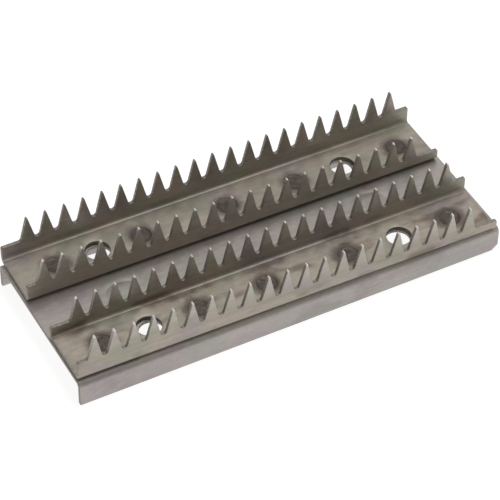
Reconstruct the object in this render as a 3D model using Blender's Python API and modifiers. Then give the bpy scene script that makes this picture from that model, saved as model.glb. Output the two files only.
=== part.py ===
"""Toothed gripper plate of a carpet knee kicker: a folded steel base with two toothed U channels welded on.

Metres, +Z up. +X runs along the tooth rows, +Y to the rear row. The origin is the centre of the plate's
footprint, at the height of the two folded edges that it stands on.
"""

import math

import bmesh
import bpy
from mathutils import Matrix, Vector

# Sheet steel
SHEET = 0.0012
INNER_BEND_RADIUS = 0.0010
BEND_STEPS = 6
CLEARANCE = 0.0003

# Teeth
TOOTH_PITCH = 0.25 * 0.0254
TEETH_PER_ROW = 21
TIP_HEIGHT = 0.0148
VALLEY_HEIGHT = 0.0061
TIP_RADIUS = 0.0003
VALLEY_RADIUS = 0.00095
TIP_STEPS = 2
VALLEY_STEPS = 4
ROW_STAGGER = TOOTH_PITCH / 4

# Base plate
BASE_LENGTH = 22.8 * TOOTH_PITCH
BASE_DEPTH = 0.0573
BASE_HEIGHT = 0.0089
CORNER_CHAMFER = 0.0018

# Toothed channels, welded on a little askew and to the left
CHANNEL_LENGTH = 22.5 * TOOTH_PITCH
CHANNEL_WIDTH = 0.0206
CHANNEL_SPACING = 0.0363
CHANNEL_SKEW = math.radians(-0.65)
CHANNEL_SHIFT = -0.0010
SHEET_SHIFT = 0.0006

# The folds run askew of the punched rows. For each channel's rear and front row: rise at its middle, tilt
REAR_CHANNEL_ROWS = ((0.00075, math.radians(0.42)), (-0.00028, math.radians(-0.91)))
FRONT_CHANNEL_ROWS = ((-0.00052, math.radians(0.67)), (0.00005, math.radians(-1.40)))
MOST_RISE = 0.0020

# Screw holes, through each channel's web and the base
HOLE_DIAMETER = 0.0079
CHANNEL_HOLE_SPACING = 0.0860
BASE_HOLE_SPACING = 0.0852
HOLE_SIDES = 32

# Spot welds: places along each channel, as the welder's hand left them
PRINT_DIAMETER = 0.0070
NUGGET_DIAMETER = 0.0055
NUGGET_IN_BASE = 0.0005
PRINT_DEPTH = 0.0003
PRINT_RIM = 0.0006
WELD_SIDES = 24
REAR_WELD_PLACES = (-0.0571, -0.0281, 0.0018, 0.0259, 0.0625)
FRONT_WELD_PLACES = (-0.0584, -0.0264, -0.0031, 0.0250, 0.0613)

WEB_BOTTOM = BASE_HEIGHT + CLEARANCE
WEB_TOP = WEB_BOTTOM + SHEET
ROW_MIDDLE = BASE_HEIGHT + (TIP_HEIGHT + VALLEY_HEIGHT) / 2
WALL_TOP = BASE_HEIGHT + TIP_HEIGHT + MOST_RISE
NUGGET_BOTTOM = BASE_HEIGHT - NUGGET_IN_BASE
CUT_MARGIN = 0.003
BELOW_BASE = BASE_HEIGHT - SHEET - CUT_MARGIN

Y_AXIS_UP = Matrix.Rotation(math.radians(90), 4, "X")


def clear_scene():
    """Remove whatever the file opened with."""
    for found in list(bpy.data.objects):
        bpy.data.objects.remove(found)


def new_collection(name):
    """A collection of this name, linked to the scene."""
    collection = bpy.data.collections.new(name)
    bpy.context.scene.collection.children.link(collection)
    return collection


def steel(name, color, roughness):
    """Bare steel of one colour."""
    material = bpy.data.materials.new(name)
    material.use_nodes = True
    shader = material.node_tree.nodes["Principled BSDF"]
    shader.inputs["Base Color"].default_value = (*color, 1)
    shader.inputs["Metallic"].default_value = 1
    shader.inputs["Roughness"].default_value = roughness
    return material


def add_object(name, mesh, collection, material=None):
    """An object of this mesh, shaded smooth except at its edges."""
    made = bpy.data.objects.new(name, mesh)
    collection.objects.link(made)
    if material:
        mesh.materials.append(material)
    mesh.shade_smooth()
    mesh.set_sharp_from_angle(angle=math.radians(35))
    return made


def mesh_from(name, shape):
    """A mesh from a bmesh, which is freed."""
    bmesh.ops.recalc_face_normals(shape, faces=shape.faces)
    mesh = bpy.data.meshes.new(name)
    shape.to_mesh(mesh)
    shape.free()
    return mesh


def arc(center, radius, start, end, steps):
    """Points along an arc, angles in degrees."""
    points = []
    for step in range(steps + 1):
        angle = math.radians(start + (end - start) * step / steps)
        points.append((center[0] + radius * math.cos(angle), center[1] + radius * math.sin(angle)))
    return points


def folded_sheet(name, section, left, right, collection, material):
    """Sheet bent along a section of (y, z) points on its outer face, thickened towards the inside."""
    shape = bmesh.new()
    near = [shape.verts.new((left, y, z)) for y, z in section]
    far = [shape.verts.new((right, y, z)) for y, z in section]
    for i in range(len(section) - 1):
        shape.faces.new((near[i], near[i + 1], far[i + 1], far[i]))
    mesh = bpy.data.meshes.new(name)
    shape.to_mesh(mesh)
    shape.free()
    sheet = add_object(name, mesh, collection, material)
    thickness = sheet.modifiers.new("Sheet thickness", "SOLIDIFY")
    thickness.thickness = SHEET
    thickness.offset = 1
    thickness.use_even_offset = True
    return sheet


def channel_section():
    """Half-open U, from the rear wall's top, down, along the web and up the front wall."""
    outer = INNER_BEND_RADIUS + SHEET
    side = CHANNEL_WIDTH / 2
    bend_z = WEB_BOTTOM + outer
    rear_bend = arc((side - outer, bend_z), outer, 0, -90, BEND_STEPS)
    front_bend = arc((outer - side, bend_z), outer, -90, -180, BEND_STEPS)
    return [(side, WALL_TOP)] + rear_bend + front_bend + [(-side, WALL_TOP)]


def base_section():
    """Inverted U, from the front folded edge, up, along the top and down the rear."""
    outer = INNER_BEND_RADIUS + SHEET
    side = BASE_DEPTH / 2
    bend_z = BASE_HEIGHT - outer
    front_bend = arc((outer - side, bend_z), outer, 180, 90, BEND_STEPS)
    rear_bend = arc((side - outer, bend_z), outer, 90, 0, BEND_STEPS)
    return [(-side, 0)] + front_bend + rear_bend + [(side, 0)]


def flank_angle():
    """Degrees above horizontal of a tooth flank's normal: the flank touches both tip and valley arcs."""
    across = TOOTH_PITCH / 2
    down = (TIP_HEIGHT - TIP_RADIUS) - (VALLEY_HEIGHT + VALLEY_RADIUS)
    turn = math.acos((TIP_RADIUS + VALLEY_RADIUS) / math.hypot(across, down))
    return math.degrees(turn - math.atan2(down, across))


def tooth_edge(shift):
    """Edge of a toothed wall as (x, z) points from left to right, its teeth centred on x = shift."""
    flank = flank_angle()
    tip_z = BASE_HEIGHT + TIP_HEIGHT - TIP_RADIUS
    valley_z = BASE_HEIGHT + VALLEY_HEIGHT + VALLEY_RADIUS
    first = shift - (TEETH_PER_ROW - 1) / 2 * TOOTH_PITCH
    points = []
    for tooth in range(TEETH_PER_ROW):
        tip_x = first + tooth * TOOTH_PITCH
        left = (tip_x - TOOTH_PITCH / 2, valley_z)
        right = (tip_x + TOOTH_PITCH / 2, valley_z)
        points += arc(left, VALLEY_RADIUS, -90, -flank, VALLEY_STEPS)
        points += arc((tip_x, tip_z), TIP_RADIUS, 180 - flank, flank, TIP_STEPS)
        points += arc(right, VALLEY_RADIUS, 180 + flank, 270, VALLEY_STEPS)[:-1]
    return points + [(right[0], right[1] - VALLEY_RADIUS)]


def tilted(rise, tilt):
    """Raised by this much, and turned about the middle of a row so that its right end rises."""
    middle = Matrix.Translation((0, 0, ROW_MIDDLE))
    return Matrix.Translation((0, 0, rise)) @ middle @ Matrix.Rotation(-tilt, 4, "Y") @ middle.inverted()


def tooth_gap_cutter(name, shift, wall_y, row, collection):
    """What a press cuts away between the teeth of one wall: all above its edge, as thick as the wall."""
    edge = tooth_edge(shift)
    end = CHANNEL_LENGTH / 2 + CUT_MARGIN
    top = WALL_TOP + CUT_MARGIN
    rim = edge[0][1]
    outline = [(-end, rim)] + edge + [(end, rim), (end, top), (-end, top)]

    curve = bpy.data.curves.new(name, "CURVE")
    curve.dimensions = "2D"
    curve.fill_mode = "BOTH"
    curve.extrude = SHEET / 2 + CLEARANCE
    spline = curve.splines.new("POLY")
    spline.points.add(len(outline) - 1)
    for point, (x, z) in zip(spline.points, outline):
        point.co = (x, z, 0, 1)
    spline.use_cyclic_u = True
    flat = bpy.data.objects.new(name + "_outline", curve)
    collection.objects.link(flat)
    flat.matrix_world = Matrix.Translation((0, wall_y, 0)) @ tilted(*row) @ Y_AXIS_UP
    bpy.context.view_layer.update()
    mesh = bpy.data.meshes.new_from_object(flat.evaluated_get(bpy.context.evaluated_depsgraph_get()))

    shape = bmesh.new()
    shape.from_mesh(mesh)
    bmesh.ops.remove_doubles(shape, verts=shape.verts, dist=0.00001)
    cutter = add_object(name, mesh_from(name, shape), collection)
    cutter.matrix_world = flat.matrix_world.copy()
    bpy.data.objects.remove(flat)
    return cutter


def round_cutter(name, diameter, sides, places, bottom, collection):
    """Upright cylinders at these (x, y) places, from this height to above the webs."""
    shape = bmesh.new()
    top = WEB_TOP + CUT_MARGIN
    for x, y in places:
        bmesh.ops.create_cone(
            shape,
            cap_ends=True,
            segments=sides,
            radius1=diameter / 2,
            radius2=diameter / 2,
            depth=top - bottom,
            matrix=Matrix.Translation((x, y, (top + bottom) / 2)),
        )
    return add_object(name, mesh_from(name, shape), collection)


def corner_cutter(name, collection):
    """Wedge that takes the sharp lower corner off the front folded edge at the plate's right end."""
    shape = bmesh.new()
    size = math.sqrt(2) * CORNER_CHAMFER
    place = Matrix.Translation((BASE_LENGTH / 2, -BASE_DEPTH / 2, 0))
    turn = Matrix.Rotation(math.radians(45), 4, "Y")
    bmesh.ops.create_cube(shape, size=size, matrix=place @ turn @ Matrix.Diagonal((1, 4, 1, 1)))
    return add_object(name, mesh_from(name, shape), collection)


def cut(sheet, cutters):
    """Cut each of these shapes from the sheet."""
    for cutter in cutters:
        cutter.hide_render = True
        cutter.display_type = "WIRE"
        boolean = sheet.modifiers.new(cutter.name, "BOOLEAN")
        boolean.operation = "DIFFERENCE"
        boolean.object = cutter


def skewed(x, y):
    """A place on the skewed channels as an (x, y) place on the base."""
    place = Matrix.Rotation(CHANNEL_SKEW, 3, "Z") @ Vector((x, y, 0))
    return place.x + CHANNEL_SHIFT, place.y


def make_base(welds, collection, cutters, material):
    """Folded base with its screw holes and the shallow pockets that the weld nuggets fill."""
    end = BASE_LENGTH / 2
    base = folded_sheet("base_plate", base_section(), -end, end, collection, material)
    half = BASE_HOLE_SPACING / 2
    side = CHANNEL_SPACING / 2
    holes = [(CHANNEL_SHIFT + x, y) for y in (-side, side) for x in (-half, half)]
    pocket = NUGGET_DIAMETER + 2 * CLEARANCE
    cut(base, [
        round_cutter("base_screw_holes", HOLE_DIAMETER, HOLE_SIDES, holes, BELOW_BASE, cutters),
        round_cutter("base_weld_pockets", pocket, WELD_SIDES, welds, NUGGET_BOTTOM - CLEARANCE, cutters),
        corner_cutter("base_corner", cutters),
    ])
    return base


def make_channel(name, side, rows, welds, mount, collection, cutters, material):
    """Toothed channel on one side of the base, turned with the empty that carries both channels."""
    end = CHANNEL_LENGTH / 2
    section = channel_section()
    channel = folded_sheet(name, section, SHEET_SHIFT - end, SHEET_SHIFT + end, collection, material)
    channel.location.y = side * CHANNEL_SPACING / 2
    channel.parent = mount
    wall_y = (CHANNEL_WIDTH - SHEET) / 2
    half = CHANNEL_HOLE_SPACING / 2
    screw_holes = [(-half, 0), (half, 0)]
    weld_holes = [(x, 0) for x in welds]
    weld_hole = PRINT_DIAMETER + 2 * CLEARANCE
    shapes = [
        tooth_gap_cutter(name + "_rear_gaps", ROW_STAGGER, wall_y, rows[0], cutters),
        tooth_gap_cutter(name + "_front_gaps", -ROW_STAGGER, -wall_y, rows[1], cutters),
        round_cutter(name + "_screw_holes", HOLE_DIAMETER, HOLE_SIDES, screw_holes, BELOW_BASE, cutters),
        round_cutter(name + "_weld_holes", weld_hole, WELD_SIDES, weld_holes, BELOW_BASE, cutters),
    ]
    for shape in shapes:
        shape.parent = channel
    cut(channel, shapes)
    return channel


def weld_mesh(material):
    """Turned profile: the electrode's dished print in the web, over a nugget that bites into the base."""
    radius = PRINT_DIAMETER / 2
    nugget = NUGGET_DIAMETER / 2
    floor = WEB_TOP - PRINT_DEPTH
    profile = [(0, floor), (radius - 2 * PRINT_RIM, floor), (radius - PRINT_RIM, WEB_TOP), (radius, WEB_TOP)]
    profile += [(radius, WEB_BOTTOM), (nugget, WEB_BOTTOM), (nugget, NUGGET_BOTTOM), (0, NUGGET_BOTTOM)]
    shape = bmesh.new()
    verts = [shape.verts.new((x, 0, z)) for x, z in profile]
    for i in range(len(verts) - 1):
        shape.edges.new((verts[i], verts[i + 1]))
    mesh = bpy.data.meshes.new("spot_weld")
    shape.to_mesh(mesh)
    shape.free()
    mesh.materials.append(material)
    return mesh


def make_welds(name, side, places, mesh, mount, collection):
    """Row of spot welds along one channel's centre line."""
    for number, x in enumerate(places, start=1):
        weld = bpy.data.objects.new(f"{name}_{number}", mesh)
        collection.objects.link(weld)
        weld.location = (x, side * CHANNEL_SPACING / 2, 0)
        weld.parent = mount
        turned = weld.modifiers.new("Turned", "SCREW")
        turned.steps = WELD_SIDES
        turned.render_steps = WELD_SIDES
        turned.use_merge_vertices = True
        turned.merge_threshold = 0.00001
        turned.use_smooth_shade = True


def main():
    clear_scene()
    parts = new_collection("knee_kicker_gripper_plate")
    cutters = new_collection("cutters")
    plate_steel = steel("plate_steel", (0.36, 0.33, 0.30), 0.42)
    channel_steel = steel("channel_steel", (0.33, 0.30, 0.27), 0.40)
    weld_steel = steel("weld_steel", (0.12, 0.10, 0.09), 0.60)

    channel_mount = bpy.data.objects.new("channel_mount", None)
    parts.objects.link(channel_mount)
    channel_mount.location.x = CHANNEL_SHIFT
    channel_mount.rotation_euler.z = CHANNEL_SKEW

    channels = (
        ("rear", 1, REAR_CHANNEL_ROWS, REAR_WELD_PLACES),
        ("front", -1, FRONT_CHANNEL_ROWS, FRONT_WELD_PLACES),
    )
    weld_shape = weld_mesh(weld_steel)
    places_on_base = []
    for name, side, rows, places in channels:
        channel_name = name + "_tooth_channel"
        make_channel(channel_name, side, rows, places, channel_mount, parts, cutters, channel_steel)
        make_welds(name + "_channel_weld", side, places, weld_shape, channel_mount, parts)
        places_on_base += [skewed(x, side * CHANNEL_SPACING / 2) for x in places]
    make_base(places_on_base, parts, cutters, plate_steel)


main()
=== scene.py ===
"""Looks of the knee kicker's gripper plate: pressed sheets with rounded edges, dished welds, mill steel."""

import math

import bmesh
import bpy
import numpy as np
from mathutils import Matrix, Vector, noise
from mathutils.geometry import delaunay_2d_cdt


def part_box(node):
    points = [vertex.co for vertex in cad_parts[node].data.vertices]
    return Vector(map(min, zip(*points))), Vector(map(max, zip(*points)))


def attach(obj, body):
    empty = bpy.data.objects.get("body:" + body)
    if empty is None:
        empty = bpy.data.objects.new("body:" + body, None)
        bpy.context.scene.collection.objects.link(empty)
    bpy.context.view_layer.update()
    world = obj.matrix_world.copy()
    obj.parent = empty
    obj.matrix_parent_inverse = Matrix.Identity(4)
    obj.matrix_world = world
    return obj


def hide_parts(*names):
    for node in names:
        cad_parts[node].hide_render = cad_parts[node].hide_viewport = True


MM = 0.001

# Sheet and its edges
SHEET = 1.2 * MM
BEND_RADIUS = 1.6 * MM  # to the middle of the sheet
BEND_LINES = 12
EDGE_ROUND = 0.14 * MM
EDGE_STEPS = 3

# Teeth
TOOTH_PITCH = 6.35 * MM
TEETH_PER_ROW = 21
TIP_HEIGHT = 14.8 * MM
VALLEY_HEIGHT = 6.1 * MM
TIP_RADIUS = 0.30 * MM
VALLEY_RADIUS = 0.95 * MM
ROW_STAGGER = TOOTH_PITCH / 4
TIP_STEPS = 6
VALLEY_STEPS = 9

# Rise of each row at its middle, and its tilt, because the folds run askew of the punched rows
REAR_CHANNEL_ROWS = ((0.75 * MM, math.radians(0.42)), (-0.28 * MM, math.radians(-0.91)))
FRONT_CHANNEL_ROWS = ((-0.52 * MM, math.radians(0.67)), (0.05 * MM, math.radians(-1.40)))

# Placement of the channels and their holes
CHANNEL_LENGTH = 22.5 * TOOTH_PITCH
CHANNEL_WIDTH = 20.6 * MM
CHANNEL_SKEW = math.radians(-0.65)
CHANNEL_SHIFT = -1.0 * MM
SHEET_SHIFT = 0.6 * MM
HOLE_RADIUS = 3.95 * MM
CHANNEL_HOLE_SPACING = 86.0 * MM
BASE_HOLE_SPACING = 85.2 * MM
WELD_HOLE_RADIUS = 3.45 * MM
WELD_POCKET_RADIUS = 3.05 * MM
WELD_POCKET_DEPTH = 0.8 * MM
CORNER_CHAMFER = 1.8 * MM
BASE_CORNER = 0.4 * MM
GRID = 4.0 * MM

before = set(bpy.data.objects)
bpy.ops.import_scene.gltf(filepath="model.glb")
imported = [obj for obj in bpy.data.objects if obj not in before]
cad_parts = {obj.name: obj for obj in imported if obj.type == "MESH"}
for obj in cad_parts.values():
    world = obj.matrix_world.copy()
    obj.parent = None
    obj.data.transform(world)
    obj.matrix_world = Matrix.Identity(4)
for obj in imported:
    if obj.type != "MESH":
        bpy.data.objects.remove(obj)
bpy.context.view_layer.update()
base_low, base_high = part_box("base_plate")
rear_low, rear_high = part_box("rear_tooth_channel")
front_low, front_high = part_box("front_tooth_channel")
BASE_LENGTH = base_high.x - base_low.x
BASE_DEPTH = base_high.y - base_low.y
BASE_TOP = base_high.z
WEB_BOTTOM = rear_low.z
WEB_TOP = WEB_BOTTOM + SHEET
CHANNEL_SPACING = (rear_low.y + rear_high.y - front_low.y - front_high.y) / 2
ROW_MIDDLE = BASE_TOP + (TIP_HEIGHT + VALLEY_HEIGHT) / 2


# ---------------------------------------------------------------- pressed sheet

def arc(center, radius, start, end, steps):
    """Points along an arc, angles in degrees."""
    angles = [math.radians(start + (end - start) * i / steps) for i in range(steps + 1)]
    return [(center[0] + radius * math.cos(a), center[1] + radius * math.sin(a)) for a in angles]


def hole(center, radius, steps=48):
    """Clockwise loop, so that the material is on its left."""
    return arc(center, radius, 0, -360, steps)[:-1]


def inward(loop):
    """At each point of a loop, the vector into the material that moves both its sides by one unit."""
    points = np.array(loop)
    ahead = np.roll(points, -1, axis=0) - points
    ahead /= np.linalg.norm(ahead, axis=1)[:, None]
    normal = np.stack([-ahead[:, 1], ahead[:, 0]], axis=1)
    before = np.roll(normal, 1, axis=0)
    return (normal + before) / (1 + (normal * before).sum(axis=1))[:, None]


def inside(points, loops):
    """Which points lie in the material, by counting the loops' edges to their right."""
    crossed = np.zeros(len(points), int)
    for loop in loops:
        for a, b in zip(loop, np.roll(loop, -1, axis=0)):
            spans = (a[1] > points[:, 1]) != (b[1] > points[:, 1])
            with np.errstate(divide="ignore", invalid="ignore"):
                at = a[0] + (points[:, 1] - a[1]) * (b[0] - a[0]) / (b[1] - a[1])
            crossed += spans & (points[:, 0] < at)
    return crossed % 2 == 1


def filled(loops, lines, loose):
    """Triangles that fill the loops: (points, triangles, index of each loop's points among them)."""
    points = []
    edges = []
    starts = []
    for loop in loops:
        start = len(points)
        starts.append(start)
        points += [Vector(p) for p in loop]
        edges += [(start + i, start + (i + 1) % len(loop)) for i in range(len(loop))]
    for line in lines:
        start = len(points)
        points += [Vector(p) for p in line]
        edges += [(start + i, start + i + 1) for i in range(len(line) - 1)]
    points += [Vector(p) for p in loose]
    made, _, faces, origin, _, _ = delaunay_2d_cdt(points, edges, [], 0, 1e-7)
    where = {}
    for index, sources in enumerate(origin):
        for source in sources:
            where[source] = index
    flat = np.array([tuple(p) for p in made])
    faces = np.array([tuple(f) for f in faces])
    keep = inside(flat[faces].mean(axis=1), [np.array(loop) for loop in loops])
    rings = [[where[start + i] for i in range(len(loop))] for start, loop in zip(starts, loops)]
    return flat, faces[keep], rings


def level(u, v):
    """No emboss."""
    return 0.0


def no_oxide_no_highlight(u, v):
    """No painted highlight and no oxide: 1 is a painted highlight on smoother steel, 0 is as cut, and -1 is
    dark with oxide.
    """
    return 0.0


def pressed_sheet(
    name, loops, fold, lines, loose, dents_top=((), level), dents_under=((), level), oxide_and_highlight=no_oxide_no_highlight
):
    """Sheet cut to the loops of its flat blank, with rounded edges, then folded.

    fold maps (along, across, through) of the blank to a place. Dents are creases in one face of the sheet
    and how far each place of that face is pressed in. The last argument, from -1 to 1, gives each place
    dark oxide below 0 and a painted highlight above 0."""
    insets = [np.array(loop) + inward(loop) * EDGE_ROUND for loop in loops]
    shape = bmesh.new()
    rim_layer = shape.verts.layers.float.new("rim")
    # per place: dark oxide on the web's cut edges below 0, a painted highlight on the tips above 0
    oxide_highlight_layer = shape.verts.layers.float.new("oxide_highlight")
    sides = []
    for half, (rings, dent) in ((SHEET / 2, dents_top), (-SHEET / 2, dents_under)):
        flat, faces, ring_index = filled([i.tolist() for i in insets], list(lines) + list(rings), loose)
        used = sorted(set(faces.ravel().tolist()) | {i for ring in ring_index for i in ring})
        verts = {}
        for index in used:
            u, v = flat[index]
            pressed = math.copysign(dent(u, v), half)
            verts[index] = shape.verts.new(fold(u, v, half - pressed))
            verts[index][oxide_highlight_layer] = oxide_and_highlight(u, v)
        for face in faces:
            order = [verts[i] for i in face]
            if half < 0:
                order.reverse()
            shape.faces.new(order)
        sides.append([[verts[i] for i in ring] for ring in ring_index])

    for number, loop in enumerate(loops):
        outline = np.array(loop)
        into = inward(loop)
        rows = [sides[0][number]]
        for step in range(1, 2 * EDGE_STEPS + 2):
            lower = step > EDGE_STEPS
            turn = math.pi / 2 * ((2 * EDGE_STEPS + 1 - step) if lower else step) / EDGE_STEPS
            depth = SHEET / 2 - EDGE_ROUND * (1 - math.cos(turn))
            place = outline + into * EDGE_ROUND * (1 - math.sin(turn))
            if step == 2 * EDGE_STEPS + 1:
                rows.append(sides[1][number])
                break
            row = [shape.verts.new(fold(u, v, -depth if lower else depth)) for u, v in place]
            for vert, (u, v) in zip(row, place):
                vert[rim_layer] = 1.0
                vert[oxide_highlight_layer] = oxide_and_highlight(u, v)
            rows.append(row)
        for upper, under in zip(rows, rows[1:]):
            for i in range(len(loop)):
                j = (i + 1) % len(loop)
                shape.faces.new((upper[j], upper[i], under[i], under[j]))
    bmesh.ops.recalc_face_normals(shape, faces=shape.faces)
    mesh = bpy.data.meshes.new(name)
    shape.to_mesh(mesh)
    shape.free()
    mesh.shade_smooth()
    mesh.set_sharp_from_angle(angle=math.radians(50))
    piece = bpy.data.objects.new(name, mesh)
    bpy.context.scene.collection.objects.link(piece)
    return piece


def bend_places(flat_half):
    """Where the blank is creased into small steps, on one side of its middle."""
    length = BEND_RADIUS * math.pi / 2
    return [flat_half + length * i / BEND_LINES for i in range(BEND_LINES + 1)]


def folded(flat_half, up):
    """Place in the section of a point of the blank, folded up (+1) or down (-1) beside its flat."""
    length = BEND_RADIUS * math.pi / 2

    def place(v, w):
        side = math.copysign(1, v)
        beyond = abs(v) - flat_half
        if beyond <= 0:
            return v, w
        radius = BEND_RADIUS - up * w
        angle = min(beyond, length) / BEND_RADIUS
        y = flat_half + radius * math.sin(angle)
        z = BEND_RADIUS - radius * math.cos(angle)
        if beyond > length:
            z = BEND_RADIUS + beyond - length
        return side * y, up * z
    return place


def grid_points(length, width, step):
    """Loose points that give a wide flat some even triangles."""
    across = np.arange(-width / 2 + step, width / 2, step)
    along = np.arange(-length / 2 + step, length / 2, step)
    return [(u, v) for v in across for u in along]


# ---------------------------------------------------------------- toothed channel

TIP_HIGHLIGHT_DEPTH = 0.5 * MM  # how far down a tip its painted highlight reaches
FLANK_HIGHLIGHT = 0.25  # painted highlight on the flank just under it, as a share
END_CORNER = 0.5 * MM


def row_edge(shift, rise, tilt, to_blank):
    """Edge of a toothed wall from its left end to its right end, as points of the blank."""
    across = TOOTH_PITCH / 2
    down = (TIP_HEIGHT - TIP_RADIUS) - (VALLEY_HEIGHT + VALLEY_RADIUS)
    turn = math.acos((TIP_RADIUS + VALLEY_RADIUS) / math.hypot(across, down))
    flank = math.degrees(turn - math.atan2(down, across))
    slope = math.tan(math.radians(flank))
    tip_z = BASE_TOP + TIP_HEIGHT - TIP_RADIUS
    valley_z = BASE_TOP + VALLEY_HEIGHT + VALLEY_RADIUS
    rim = valley_z - VALLEY_RADIUS
    points = [(SHEET_SHIFT - CHANNEL_LENGTH / 2, rim)]
    for tooth in range(TEETH_PER_ROW):
        tip_x = shift + (tooth - (TEETH_PER_ROW - 1) / 2) * TOOTH_PITCH
        left = (tip_x - across, valley_z)
        right = (tip_x + across, valley_z)
        tip = arc((tip_x, tip_z), TIP_RADIUS, 180 - flank, flank, TIP_STEPS)
        # points that bound the painted highlight at the top of the tip
        wide, low = TIP_HIGHLIGHT_DEPTH * slope, TIP_HIGHLIGHT_DEPTH
        points += arc(left, VALLEY_RADIUS, -90, -flank, VALLEY_STEPS)
        points += [(tip[0][0] - wide, tip[0][1] - low)] + tip + [(tip[-1][0] + wide, tip[-1][1] - low)]
        points += arc(right, VALLEY_RADIUS, 180 + flank, 270, VALLEY_STEPS)[:-1]
    points += [(right[0], rim), (SHEET_SHIFT + CHANNEL_LENGTH / 2, rim)]
    lean = Matrix.Rotation(tilt, 2)
    middle = Vector((0, ROW_MIDDLE))
    turned = [lean @ (Vector(p) - middle) + middle + Vector((0, rise)) for p in points]
    turned[0].x, turned[-1].x = points[0][0], points[-1][0]
    return [(p.x, to_blank(p.y)) for p in turned]


def channel(name, side, rows, tips, welds):
    """One toothed channel, its middle at side * half the spacing, turned by the skew.

    rows are the rise and tilt of its rear and front row, and tips how strong the painted highlight on the
    tips of each is."""
    flat_half = CHANNEL_WIDTH / 2 - BEND_RADIUS - SHEET / 2
    bends = bend_places(flat_half)
    bend_top = WEB_BOTTOM + SHEET / 2 + BEND_RADIUS

    def to_blank(z):
        return bends[-1] + z - bend_top

    rear = row_edge(ROW_STAGGER, *rows[0], to_blank)
    front = row_edge(-ROW_STAGGER, *rows[1], to_blank)
    left, right = rear[0][0], rear[-1][0]
    crease = [-v for v in reversed(bends)] + bends
    round_ = END_CORNER
    outer = [(x, -v) for x, v in front[1:-1]]
    outer += arc((right - round_, round_ - front[-1][1]), round_, -90, 0, 4)
    outer += [(right, v) for v in crease]
    outer += arc((right - round_, rear[-1][1] - round_), round_, 0, 90, 4)
    outer += list(reversed(rear[1:-1]))
    outer += arc((left + round_, rear[0][1] - round_), round_, 90, 180, 4)
    outer += [(left, v) for v in reversed(crease)]
    outer += arc((left + round_, round_ - front[0][1]), round_, 180, 270, 4)

    hole_half = CHANNEL_HOLE_SPACING / 2
    holes = [hole((x, 0), HOLE_RADIUS) for x in (-hole_half, hole_half)]
    holes += [hole((x, 0), WELD_HOLE_RADIUS) for x in welds]
    lines = [[(left + EDGE_ROUND, v), (right - EDGE_ROUND, v)] for v in crease]
    section = folded(flat_half, 1)
    turn = Matrix.Rotation(CHANNEL_SKEW, 3, "Z")

    def fold(u, v, w):
        y, z = section(v, w)
        place = turn @ Vector((u, y + side * CHANNEL_SPACING / 2, z + WEB_BOTTOM + SHEET / 2))
        return place + Vector((CHANNEL_SHIFT, 0, 0))

    # dark oxide on the web (-1, seen on its cut edges), and a painted highlight on the tips that is fainter
    # on the flank under them
    def oxide_and_highlight(u, v):
        row = 0 if v > 0 else 1
        rise, tilt = rows[row]
        tip = to_blank(BASE_TOP + TIP_HEIGHT + rise + u * math.tan(tilt))
        if abs(v) < flat_half:
            return -1.0
        if abs(v) > tip - TIP_HIGHLIGHT_DEPTH / 2:
            return tips[row]
        return FLANK_HIGHLIGHT * tips[row] if abs(v) > tip - 3 * TIP_HIGHLIGHT_DEPTH else 0.0

    loose = grid_points(CHANNEL_LENGTH - 2 * MM, 2 * flat_half, GRID)
    return pressed_sheet(name, [outer] + holes, fold, lines, loose, oxide_and_highlight=oxide_and_highlight)


# ---------------------------------------------------------------- base plate

# Two faint rings rolled into the strip between the channels, beside the screw holes
MARKS = ((-44.0 * MM, -1.5 * MM), (42.0 * MM, -1.5 * MM))
MARK_RADIUS = 6.0 * MM
MARK_WIDTH = 0.45 * MM
MARK_DEPTH = 0.10 * MM
MARK_STEPS = 64
POCKET_STEPS = 24
POCKET_EDGE = 0.04 * MM  # half the width of a pocket's wall, as seen from above
UNDER_PRINT = 0.7  # depth of the print under the base, as a share of the print on top
UNDER_PRINT_STEPS = 32


def closed_ring(center, radius, steps):
    """Crease round a circle of the blank."""
    return arc(center, radius, 0, 360, steps)


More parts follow.
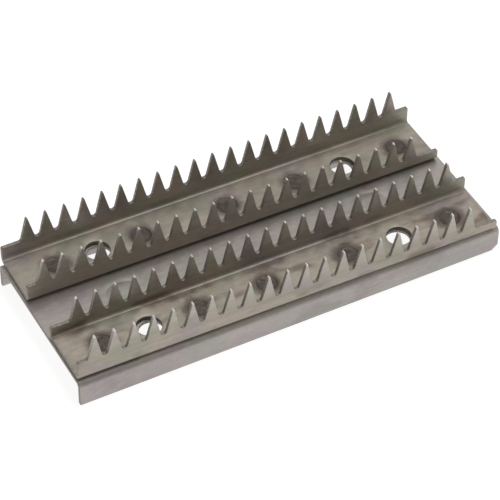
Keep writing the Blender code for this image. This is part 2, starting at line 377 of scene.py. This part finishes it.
def base(name, welds):
    """Tray-shaped base: flat top, long edges folded down."""
    flat_half = BASE_DEPTH / 2 - BEND_RADIUS - SHEET / 2
    bends = bend_places(flat_half)
    edge = bends[-1] + BASE_TOP - SHEET / 2 - BEND_RADIUS
    half = BASE_LENGTH / 2
    crease = [-v for v in reversed(bends)] + bends
    corner = BASE_CORNER
    cut = CORNER_CHAMFER
    outer = arc((-half + corner, -edge + corner), corner, 180, 270, 4)
    outer += [(half - cut - corner, -edge), (half, -edge + cut)]
    outer += [(half, v) for v in crease]
    outer += arc((half - corner, edge - corner), corner, 0, 90, 4)
    outer += arc((-half + corner, edge - corner), corner, 90, 180, 4)
    outer += [(-half, v) for v in reversed(crease)]

    hole_half = BASE_HOLE_SPACING / 2
    rows = (-CHANNEL_SPACING / 2, CHANNEL_SPACING / 2)
    holes = [hole((CHANNEL_SHIFT + x, y), HOLE_RADIUS) for y in rows for x in (-hole_half, hole_half)]
    inner = half - EDGE_ROUND
    lines = [[(-inner, v), (inner, v)] for v in crease]
    section = folded(flat_half, -1)

    def fold(u, v, w):
        y, z = section(v, w)
        return Vector((u, y, z + BASE_TOP - SHEET / 2))

    wall = POCKET_EDGE
    pockets = [closed_ring(c, WELD_POCKET_RADIUS + e, POCKET_STEPS) for c in welds for e in (-wall, wall)]
    widths = (-MARK_WIDTH, 0, MARK_WIDTH)
    marks = [closed_ring(c, MARK_RADIUS + e, MARK_STEPS) for c in MARKS for e in widths]
    prints = [closed_ring(c, r * MM, UNDER_PRINT_STEPS) for c in welds for r, _ in PRINT_PROFILE[1:]]

    def dent_top(u, v):
        if min(math.dist((u, v), c) for c in welds) < WELD_POCKET_RADIUS:
            return WELD_POCKET_DEPTH
        off = min(abs(math.dist((u, v), c) - MARK_RADIUS) for c in MARKS)
        return MARK_DEPTH * max(0.0, 1 - off / MARK_WIDTH)

    def dent_under(u, v):
        place = min(math.dist((u, v), c) for c in welds) / MM
        return -float(np.interp(place, *zip(*PRINT_PROFILE), right=0)) * MM * UNDER_PRINT

    loose = grid_points(BASE_LENGTH, 2 * flat_half, GRID)
    clear = PRINT_PROFILE[-1][0] * MM + wall
    loose = [p for p in loose if min(math.dist(p, c) for c in welds) > clear]
    tops = (pockets + marks, dent_top)
    return pressed_sheet(name, [outer] + holes, fold, lines, loose, tops, (prints, dent_under))


# ---------------------------------------------------------------- spot welds

# Radius and height of the print's surface over the sheet's face, in mm, from the middle out
PRINT_PROFILE = (
    (0.5, -0.29), (1.1, -0.30), (1.8, -0.31), (2.4, -0.31), (2.8, -0.28), (3.1, -0.20),
    (3.35, -0.10), (3.6, -0.02), (3.8, 0.012), (4.0, 0.0),
)
LIP = (4.05, -0.03)
WELD_SEGMENTS = 56
WELD_CORE_RADIUS = 3.3 * MM
NUGGET_RADIUS = 2.75 * MM
NUGGET_IN_BASE = 0.5 * MM
ROUGH_RADIUS = 3.3
WELDS_PER_CHANNEL = 5


def print_lift(x, y, radius, seed):
    """Roughness of a print's floor at this place, in mm: the electrode's coarse face, then fine spatter."""
    if radius > ROUGH_RADIUS:
        return 0.0
    coarse = noise.noise(Vector((x * 0.7, y * 0.7, seed * 7.1)))
    fine = noise.noise(Vector((x * 2.6, y * 2.6, seed * 3.3)))
    return 0.07 * coarse + 0.035 * fine


def weld(name, center, seed):
    """A dished print in the web, on a nugget that reaches into the base."""
    rings = [(radius, height * MM + WEB_TOP) for radius, height in PRINT_PROFILE + (LIP,)]
    core, nugget = WELD_CORE_RADIUS / MM, NUGGET_RADIUS / MM
    rings += [(core, WEB_TOP + LIP[1] * MM), (core, WEB_BOTTOM), (nugget, WEB_BOTTOM)]
    rings += [(nugget, BASE_TOP - NUGGET_IN_BASE)]
    shape = bmesh.new()
    loops = []
    for number, (radius, z) in enumerate(rings):
        loop = []
        for i in range(WELD_SEGMENTS):
            angle = 2 * math.pi * i / WELD_SEGMENTS
            out = Vector((math.cos(angle), math.sin(angle), seed * 1.7))
            wide = radius * (1 + 0.02 * noise.noise(out)) if number < len(PRINT_PROFILE) else radius
            x, y = wide * out.x, wide * out.y
            lift = print_lift(x, y, radius, seed) if number < len(PRINT_PROFILE) else 0.0
            loop.append(shape.verts.new((center.x + x * MM, center.y + y * MM, z + lift * MM)))
        loops.append(loop)
    for upper, under in zip(loops, loops[1:]):
        for i in range(WELD_SEGMENTS):
            j = (i + 1) % WELD_SEGMENTS
            shape.faces.new((upper[i], upper[j], under[j], under[i]))
    for loop in (loops[0], loops[-1]):
        middle = shape.verts.new(sum((v.co for v in loop), Vector()) / WELD_SEGMENTS)
        for i in range(WELD_SEGMENTS):
            shape.faces.new((loop[(i + 1) % WELD_SEGMENTS], loop[i], middle))
    bmesh.ops.recalc_face_normals(shape, faces=shape.faces)
    mesh = bpy.data.meshes.new(name)
    shape.to_mesh(mesh)
    shape.free()
    mesh.shade_smooth()
    mesh.set_sharp_from_angle(angle=math.radians(60))
    piece = bpy.data.objects.new(name, mesh)
    bpy.context.scene.collection.objects.link(piece)
    return piece


# ---------------------------------------------------------------- steel

class Steel:
    """A Principled material whose nodes measure the piece in millimetres."""

    def __init__(self, name, metallic):
        self.material = bpy.data.materials.new(name)
        self.material.use_nodes = True
        self.tree = self.material.node_tree
        self.shader = self.tree.nodes["Principled BSDF"]
        self.shader.inputs["Metallic"].default_value = metallic
        place = self.node("ShaderNodeTexCoord").outputs["Object"]
        self.place = self.stretch(place, (1 / MM, 1 / MM, 1 / MM))

    def node(self, kind, values=(), **settings):
        made = self.tree.nodes.new(kind)
        for key, value in settings.items():
            setattr(made, key, value)
        for key, value in dict(values).items():
            if isinstance(value, bpy.types.NodeSocket):
                self.tree.links.new(value, made.inputs[key])
            else:
                made.inputs[key].default_value = value
        return made

    def stretch(self, place, scale):
        return self.node("ShaderNodeVectorMath", {0: place, 1: scale}, operation="MULTIPLY").outputs[0]

    def math(self, operation, a, b=0.0, c=0.0):
        return self.node("ShaderNodeMath", {0: a, 1: b, 2: c}, operation=operation).outputs[0]

    def noise(self, scale, detail=3.0, offset=(0, 0, 0)):
        """Noise from 0 to 1, with scale features per mm along each axis."""
        place = self.node("ShaderNodeVectorMath", {0: self.place, 1: offset}, operation="ADD").outputs[0]
        values = {"Vector": self.stretch(place, scale), "Scale": 1.0, "Detail": detail}
        return self.node("ShaderNodeTexNoise", values).outputs["Fac"]

    def span(self, value, low, high, to_low=0.0, to_high=1.0):
        """value taken from low..high to to_low..to_high, smoothly, and held there."""
        values = {"Value": value, 1: low, 2: high, 3: to_low, 4: to_high}
        return self.node("ShaderNodeMapRange", values, interpolation_type="SMOOTHSTEP").outputs["Result"]

    def mix(self, amount, a, b, blend="MIX"):
        made = self.node("ShaderNodeMix", data_type="RGBA", blend_type=blend)
        for key, value in ((0, amount), (6, a), (7, b)):
            if isinstance(value, bpy.types.NodeSocket):
                self.tree.links.new(value, made.inputs[key])
            else:
                made.inputs[key].default_value = value if key == 0 else (*value, 1)
        return made.outputs[2]

    def gray(self, value):
        return self.node("ShaderNodeCombineColor", {0: value, 1: value, 2: value}).outputs[0]

    def attribute(self, name):
        return self.node("ShaderNodeAttribute", attribute_name=name).outputs["Fac"]

    def weld_distance(self, centers):
        """Distance in mm from the nearest weld's axis."""
        flat = self.stretch(self.place, (1, 1, 0))
        nearest = None
        for center in centers:
            there = (center.x / MM, center.y / MM, 0)
            away = self.node("ShaderNodeVectorMath", {0: flat, 1: there}, operation="DISTANCE")
            away = away.outputs["Value"]
            nearest = self.math("MINIMUM", nearest, away) if nearest else away
        return nearest

    def finish(self, color, roughness, bumps):
        """bumps are (height from 0 to 1, its depth in mm)."""
        normal = None
        for height, depth in bumps:
            values = {"Height": height, "Distance": depth * MM, "Strength": 1.0}
            if normal:
                values["Normal"] = normal
            normal = self.node("ShaderNodeBump", values).outputs["Normal"]
        self.tree.links.new(color, self.shader.inputs["Base Color"])
        self.tree.links.new(roughness, self.shader.inputs["Roughness"])
        self.tree.links.new(normal, self.shader.inputs["Normal"])
        return self.material


SHEET_METALLIC = 0.55  # the rest is dull oxide
PRINT_METALLIC = 0.8
BROWN_STAIN = (0.15, 0.115, 0.085)
HEAT_DARK = (0.10, 0.075, 0.07)
HEAT_STRAW = (0.25, 0.23, 0.17)
CUT_DARK = (0.20, 0.18, 0.16)
CUT_BRIGHT = (0.40, 0.37, 0.34)
HOLE_WALL = (0.05, 0.04, 0.035)
# painted highlight on the teeth's tips
TIP_HIGHLIGHT = (0.86, 0.84, 0.80)


def sheet_steel(name, tones, centers, heat, stain):
    """Bare mill steel: rolling grain, blotches of oxide, heat tint round the welds, rubbed cut edges, and a
    painted highlight on the teeth's tips.

    heat and stain are how strong the tint and the brown stains are, from 0 to 1."""
    steel = Steel(name, SHEET_METALLIC)
    light, green, mauve = tones
    grain = steel.noise((0.06, 2.2, 2.2), 4.0)
    streak = steel.noise((0.015, 0.55, 0.55), 3.0, (40, 7, 3))
    mottle = steel.noise((0.55, 0.9, 0.9), 4.0, (11, 5, 9))
    blotch = steel.noise((0.055, 0.11, 0.11), 3.0, (3, 17, 29))
    cloud = steel.noise((0.05, 0.08, 0.08), 2.0, (71, 13, 5))
    fine = steel.noise((3.0, 5.0, 5.0), 2.0)

    color = steel.mix(steel.span(blotch, 0.42, 0.60), light, green)
    color = steel.mix(steel.span(cloud, 0.50, 0.66), color, mauve)
    shade = steel.math("MULTIPLY_ADD", grain, 0.30, 0.85)
    shade = steel.math("MULTIPLY_ADD", streak, 0.24, steel.math("ADD", shade, -0.12))
    shade = steel.math("MULTIPLY_ADD", mottle, 0.36, steel.math("ADD", shade, -0.18))
    color = steel.mix(1.0, color, steel.gray(shade), "MULTIPLY")

    height = steel.node("ShaderNodeSeparateXYZ", {0: steel.place}).outputs["Z"]
    low = steel.span(height, WEB_TOP / MM + 0.4, WEB_TOP / MM + 3.5, 1.0, 0.25)
    brown = steel.noise((0.07, 0.16, 0.16), 4.0, (23, 31, 2))
    brown = steel.math("MULTIPLY", steel.span(brown, 0.50, 0.66, 0.0, stain), low)
    color = steel.mix(brown, color, BROWN_STAIN)

    ragged = steel.noise((0.35, 0.35, 0.35), 3.0, (5, 5, 5))
    away = steel.math("MULTIPLY_ADD", ragged, 3.0, steel.math("ADD", steel.weld_distance(centers), -1.5))
    halo = steel.math("MULTIPLY", steel.span(away, 4.0, 7.0, heat, 0.0), low)
    tint = steel.mix(steel.span(away, 4.0, 6.5), HEAT_DARK, HEAT_STRAW)
    color = steel.mix(halo, color, tint)

    rim = steel.attribute("rim")
    # dark oxide on the web's cut edges below 0, painted highlight on the tips above 0
    oxide_highlight = steel.attribute("oxide_highlight")
    burr = steel.noise((2.5, 2.5, 2.5), 3.0, (2, 8, 1))
    cut = steel.mix(steel.span(burr, 0.46, 0.62), CUT_DARK, CUT_BRIGHT)
    color = steel.mix(steel.math("MULTIPLY", rim, 0.9), color, cut)
    oxide = steel.math("MULTIPLY", rim, steel.span(oxide_highlight, -0.8, -0.2, 0.9, 0.0))
    color = steel.mix(oxide, color, HOLE_WALL)
    # the part above 0 is the painted highlight on the tips, which also lowers their roughness
    oxide_highlight = steel.math("MAXIMUM", oxide_highlight, 0.0)
    color = steel.mix(steel.math("MULTIPLY", oxide_highlight, 0.9), color, TIP_HIGHLIGHT)

    rough = steel.math("MULTIPLY_ADD", mottle, 0.16, 0.38)
    rough = steel.math("MULTIPLY_ADD", halo, 0.10, rough)
    rough = steel.math("MULTIPLY_ADD", brown, 0.10, rough)
    rough = steel.math("MULTIPLY_ADD", rim, 0.12, rough)
    rough = steel.math("MULTIPLY_ADD", oxide_highlight, -0.24, rough)
    return steel.finish(color, rough, ((grain, 0.020), (mottle, 0.012), (fine, 0.004)))


def print_steel(name, centers):
    """Dark oxidised floor of an electrode print, with faint temper colours, paler at its lip."""
    steel = Steel(name, PRINT_METALLIC)
    patch = steel.noise((0.30, 0.30, 0.30), 3.0, (9, 4, 6))
    other = steel.noise((0.38, 0.38, 0.38), 3.0, (1, 14, 8))
    coarse = steel.noise((0.9, 0.9, 0.9), 4.0)
    fine = steel.noise((4.0, 4.0, 4.0), 3.0)
    color = steel.mix(steel.span(patch, 0.40, 0.62), (0.105, 0.085, 0.07), (0.09, 0.072, 0.07))
    color = steel.mix(steel.span(other, 0.52, 0.68), color, (0.10, 0.11, 0.08))
    color = steel.mix(steel.span(steel.weld_distance(centers), 3.1, 3.9), color, (0.15, 0.12, 0.10))
    shade = steel.math("MULTIPLY_ADD", coarse, 1.0, 0.55)
    color = steel.mix(1.0, color, steel.gray(shade), "MULTIPLY")
    rough = steel.math("MULTIPLY_ADD", fine, 0.25, 0.42)
    return steel.finish(color, rough, ((coarse, 0.12), (fine, 0.02)))


# ---------------------------------------------------------------- build

def center_of(node):
    low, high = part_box(node)
    return (low + high) / 2


def show(piece, node, material):
    piece.data.materials.append(material)
    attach(piece, "root")
    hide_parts(node)


def on_channel(center):
    """How far along its channel a place on the base lies."""
    return (Matrix.Rotation(-CHANNEL_SKEW, 3, "Z") @ (center - Vector((CHANNEL_SHIFT, 0, 0)))).x


BASE_TONES = ((0.42, 0.38, 0.355), (0.38, 0.375, 0.335), (0.40, 0.355, 0.355))
CHANNEL_TONES = ((0.40, 0.35, 0.295), (0.34, 0.33, 0.265), (0.36, 0.315, 0.30))

weld_centers = {}
for row in ("rear", "front"):
    numbers = range(1, WELDS_PER_CHANNEL + 1)
    weld_centers[row] = [center_of(f"{row}_channel_weld_{number}") for number in numbers]
every_center = weld_centers["rear"] + weld_centers["front"]
weld_steel = print_steel("weld_steel", every_center)
# Row, side, rise and tilt of its rows, painted highlight on their tips, heat, stain
channels = (
    ("rear", 1, REAR_CHANNEL_ROWS, (0.0, 1.0), 0.6, 0.25),
    ("front", -1, FRONT_CHANNEL_ROWS, (1.0, 1.0), 0.75, 0.75),
)
for row, side, rows, tips, heat, stain in channels:
    centers = weld_centers[row]
    steel = sheet_steel(row + "_channel_steel", CHANNEL_TONES, centers, heat, stain)
    skin = channel(row + "_channel_skin", side, rows, tips, [on_channel(c) for c in centers])
    show(skin, row + "_tooth_channel", steel)
    for number, c in enumerate(centers, start=1):
        piece = weld(f"{row}_weld_print_{number}", c, number + WELDS_PER_CHANNEL * side)
        show(piece, f"{row}_channel_weld_{number}", weld_steel)
base_steel = sheet_steel("base_steel", BASE_TONES, every_center, 0.5, 0.2)
show(base("base_skin", [(c.x, c.y) for c in every_center]), "base_plate", base_steel)


# ---------------------------------------------------------------- studio

CAMERA_PLACE = Vector((-0.27345, -0.49826, 0.55904))
CAMERA_AHEAD = Vector((0.34457, 0.62909, -0.69679))
CAMERA_UP = Vector((0.32101, 0.61854, 0.71719))
LENS = 184.16
FLOOR_GLOW = 0.86
ROOM = (0.32, 0.31, 0.30, 1)

# Each softbox: place, size, power
OVERHEAD = ((0.30, 0.08, 1.2), (0.9, 0.6), 7.5)
REAR = ((0.45, 0.87, 1.0), (1.6, 0.9), 1.8)


def camera():
    data = bpy.data.cameras.new("camera")
    data.lens = LENS
    data.sensor_width = 36
    data.clip_start = 0.05
    data.clip_end = 20
    made = bpy.data.objects.new("camera", data)
    bpy.context.scene.collection.objects.link(made)
    back = -CAMERA_AHEAD.normalized()
    right = CAMERA_UP.cross(back).normalized()
    up = back.cross(right)
    made.matrix_world = Matrix.Translation(CAMERA_PLACE) @ Matrix((right, up, back)).transposed().to_4x4()
    bpy.context.scene.camera = made


def softbox(name, place, size, power, target=(0, 0, 0)):
    data = bpy.data.lights.new(name, "AREA")
    data.shape = "RECTANGLE"
    data.size, data.size_y = size
    data.energy = power
    made = bpy.data.objects.new(name, data)
    bpy.context.scene.collection.objects.link(made)
    made.location = place
    made.rotation_euler = (Vector(target) - Vector(place)).to_track_quat("-Z", "Y").to_euler()


def floor():
    shape = bmesh.new()
    bmesh.ops.create_grid(shape, x_segments=1, y_segments=1, size=4)
    mesh = bpy.data.meshes.new("floor")
    shape.to_mesh(mesh)
    shape.free()
    made = bpy.data.objects.new("floor", mesh)
    bpy.context.scene.collection.objects.link(made)
    material = bpy.data.materials.new("floor")
    material.use_nodes = True
    shader = material.node_tree.nodes["Principled BSDF"]
    shader.inputs["Base Color"].default_value = (0.3, 0.3, 0.3, 1)
    shader.inputs["Roughness"].default_value = 0.9
    shader.inputs["Specular IOR Level"].default_value = 0.0
    shader.inputs["Emission Color"].default_value = (1, 1, 1, 1)
    shader.inputs["Emission Strength"].default_value = FLOOR_GLOW
    mesh.materials.append(material)


def studio():
    scene = bpy.context.scene
    scene.view_settings.view_transform = "Standard"
    world = bpy.data.worlds.new("studio")
    world.use_nodes = True
    world.node_tree.nodes["Background"].inputs["Color"].default_value = ROOM
    scene.world = world
    softbox("overhead", *OVERHEAD)
    softbox("rear", *REAR)
    floor()
    camera()


studio()
